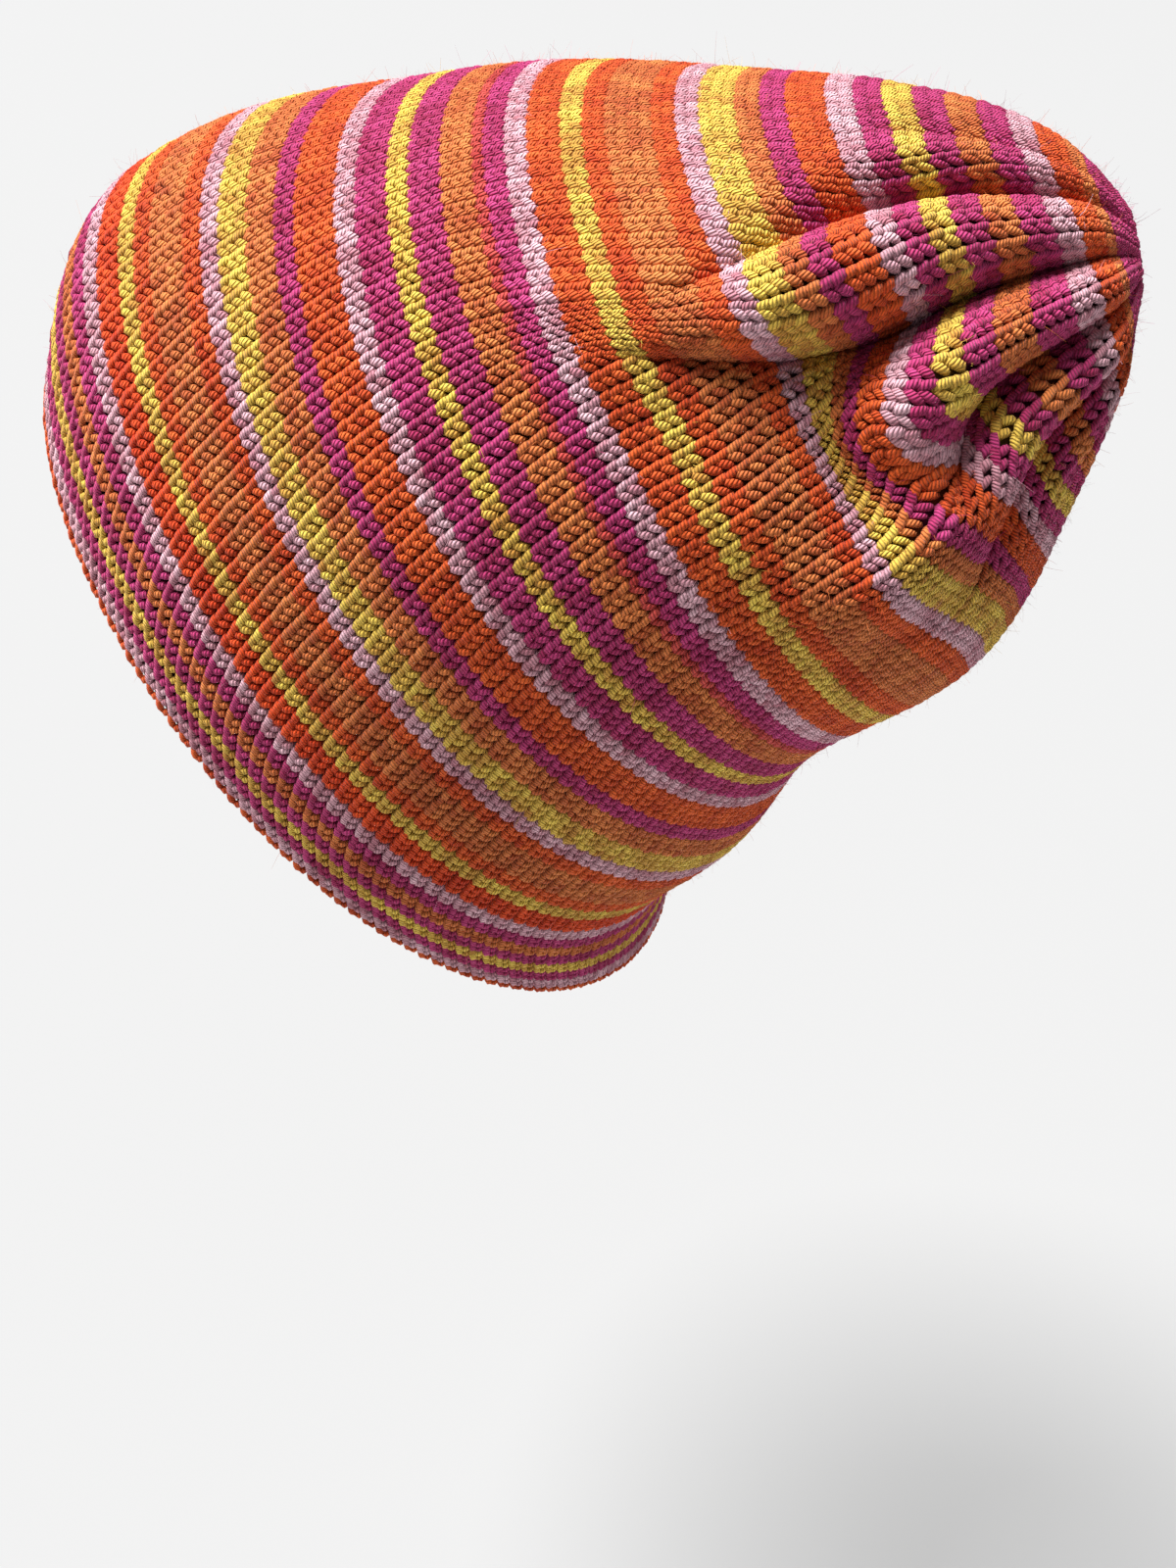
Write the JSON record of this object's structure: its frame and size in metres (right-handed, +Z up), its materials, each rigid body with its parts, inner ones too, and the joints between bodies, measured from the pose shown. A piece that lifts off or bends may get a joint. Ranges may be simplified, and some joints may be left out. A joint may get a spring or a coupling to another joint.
{
  "type": "knitted nightcap, as worn",
  "caption": "Slouchy striped nightcap in plain knit with a turned-up hem band round the rim and its back end drawn together into deep pleats, shaped as worn.",
  "frame": {"origin": "centre of the rim opening, where the cap sits on the head", "axes": "+Z up, -Y towards the brow, +Y towards the drawn tip, +X towards the wearer's left ear"},
  "size_m": [0.1666, 0.2251, 0.2119],
  "materials": {
    "striped_knit": "matt, slightly fuzzy two-ply yarn in orange, copper, yellow, pink and magenta stripes",
    "hem_knit": "matt, slightly fuzzy two-ply yarn in thin magenta, copper, yellow and pink stripes"
  },
  "bodies": {
    "root": {"crown": "striped_knit", "hem_band": "hem_knit"}
  },
  "joints": []
}
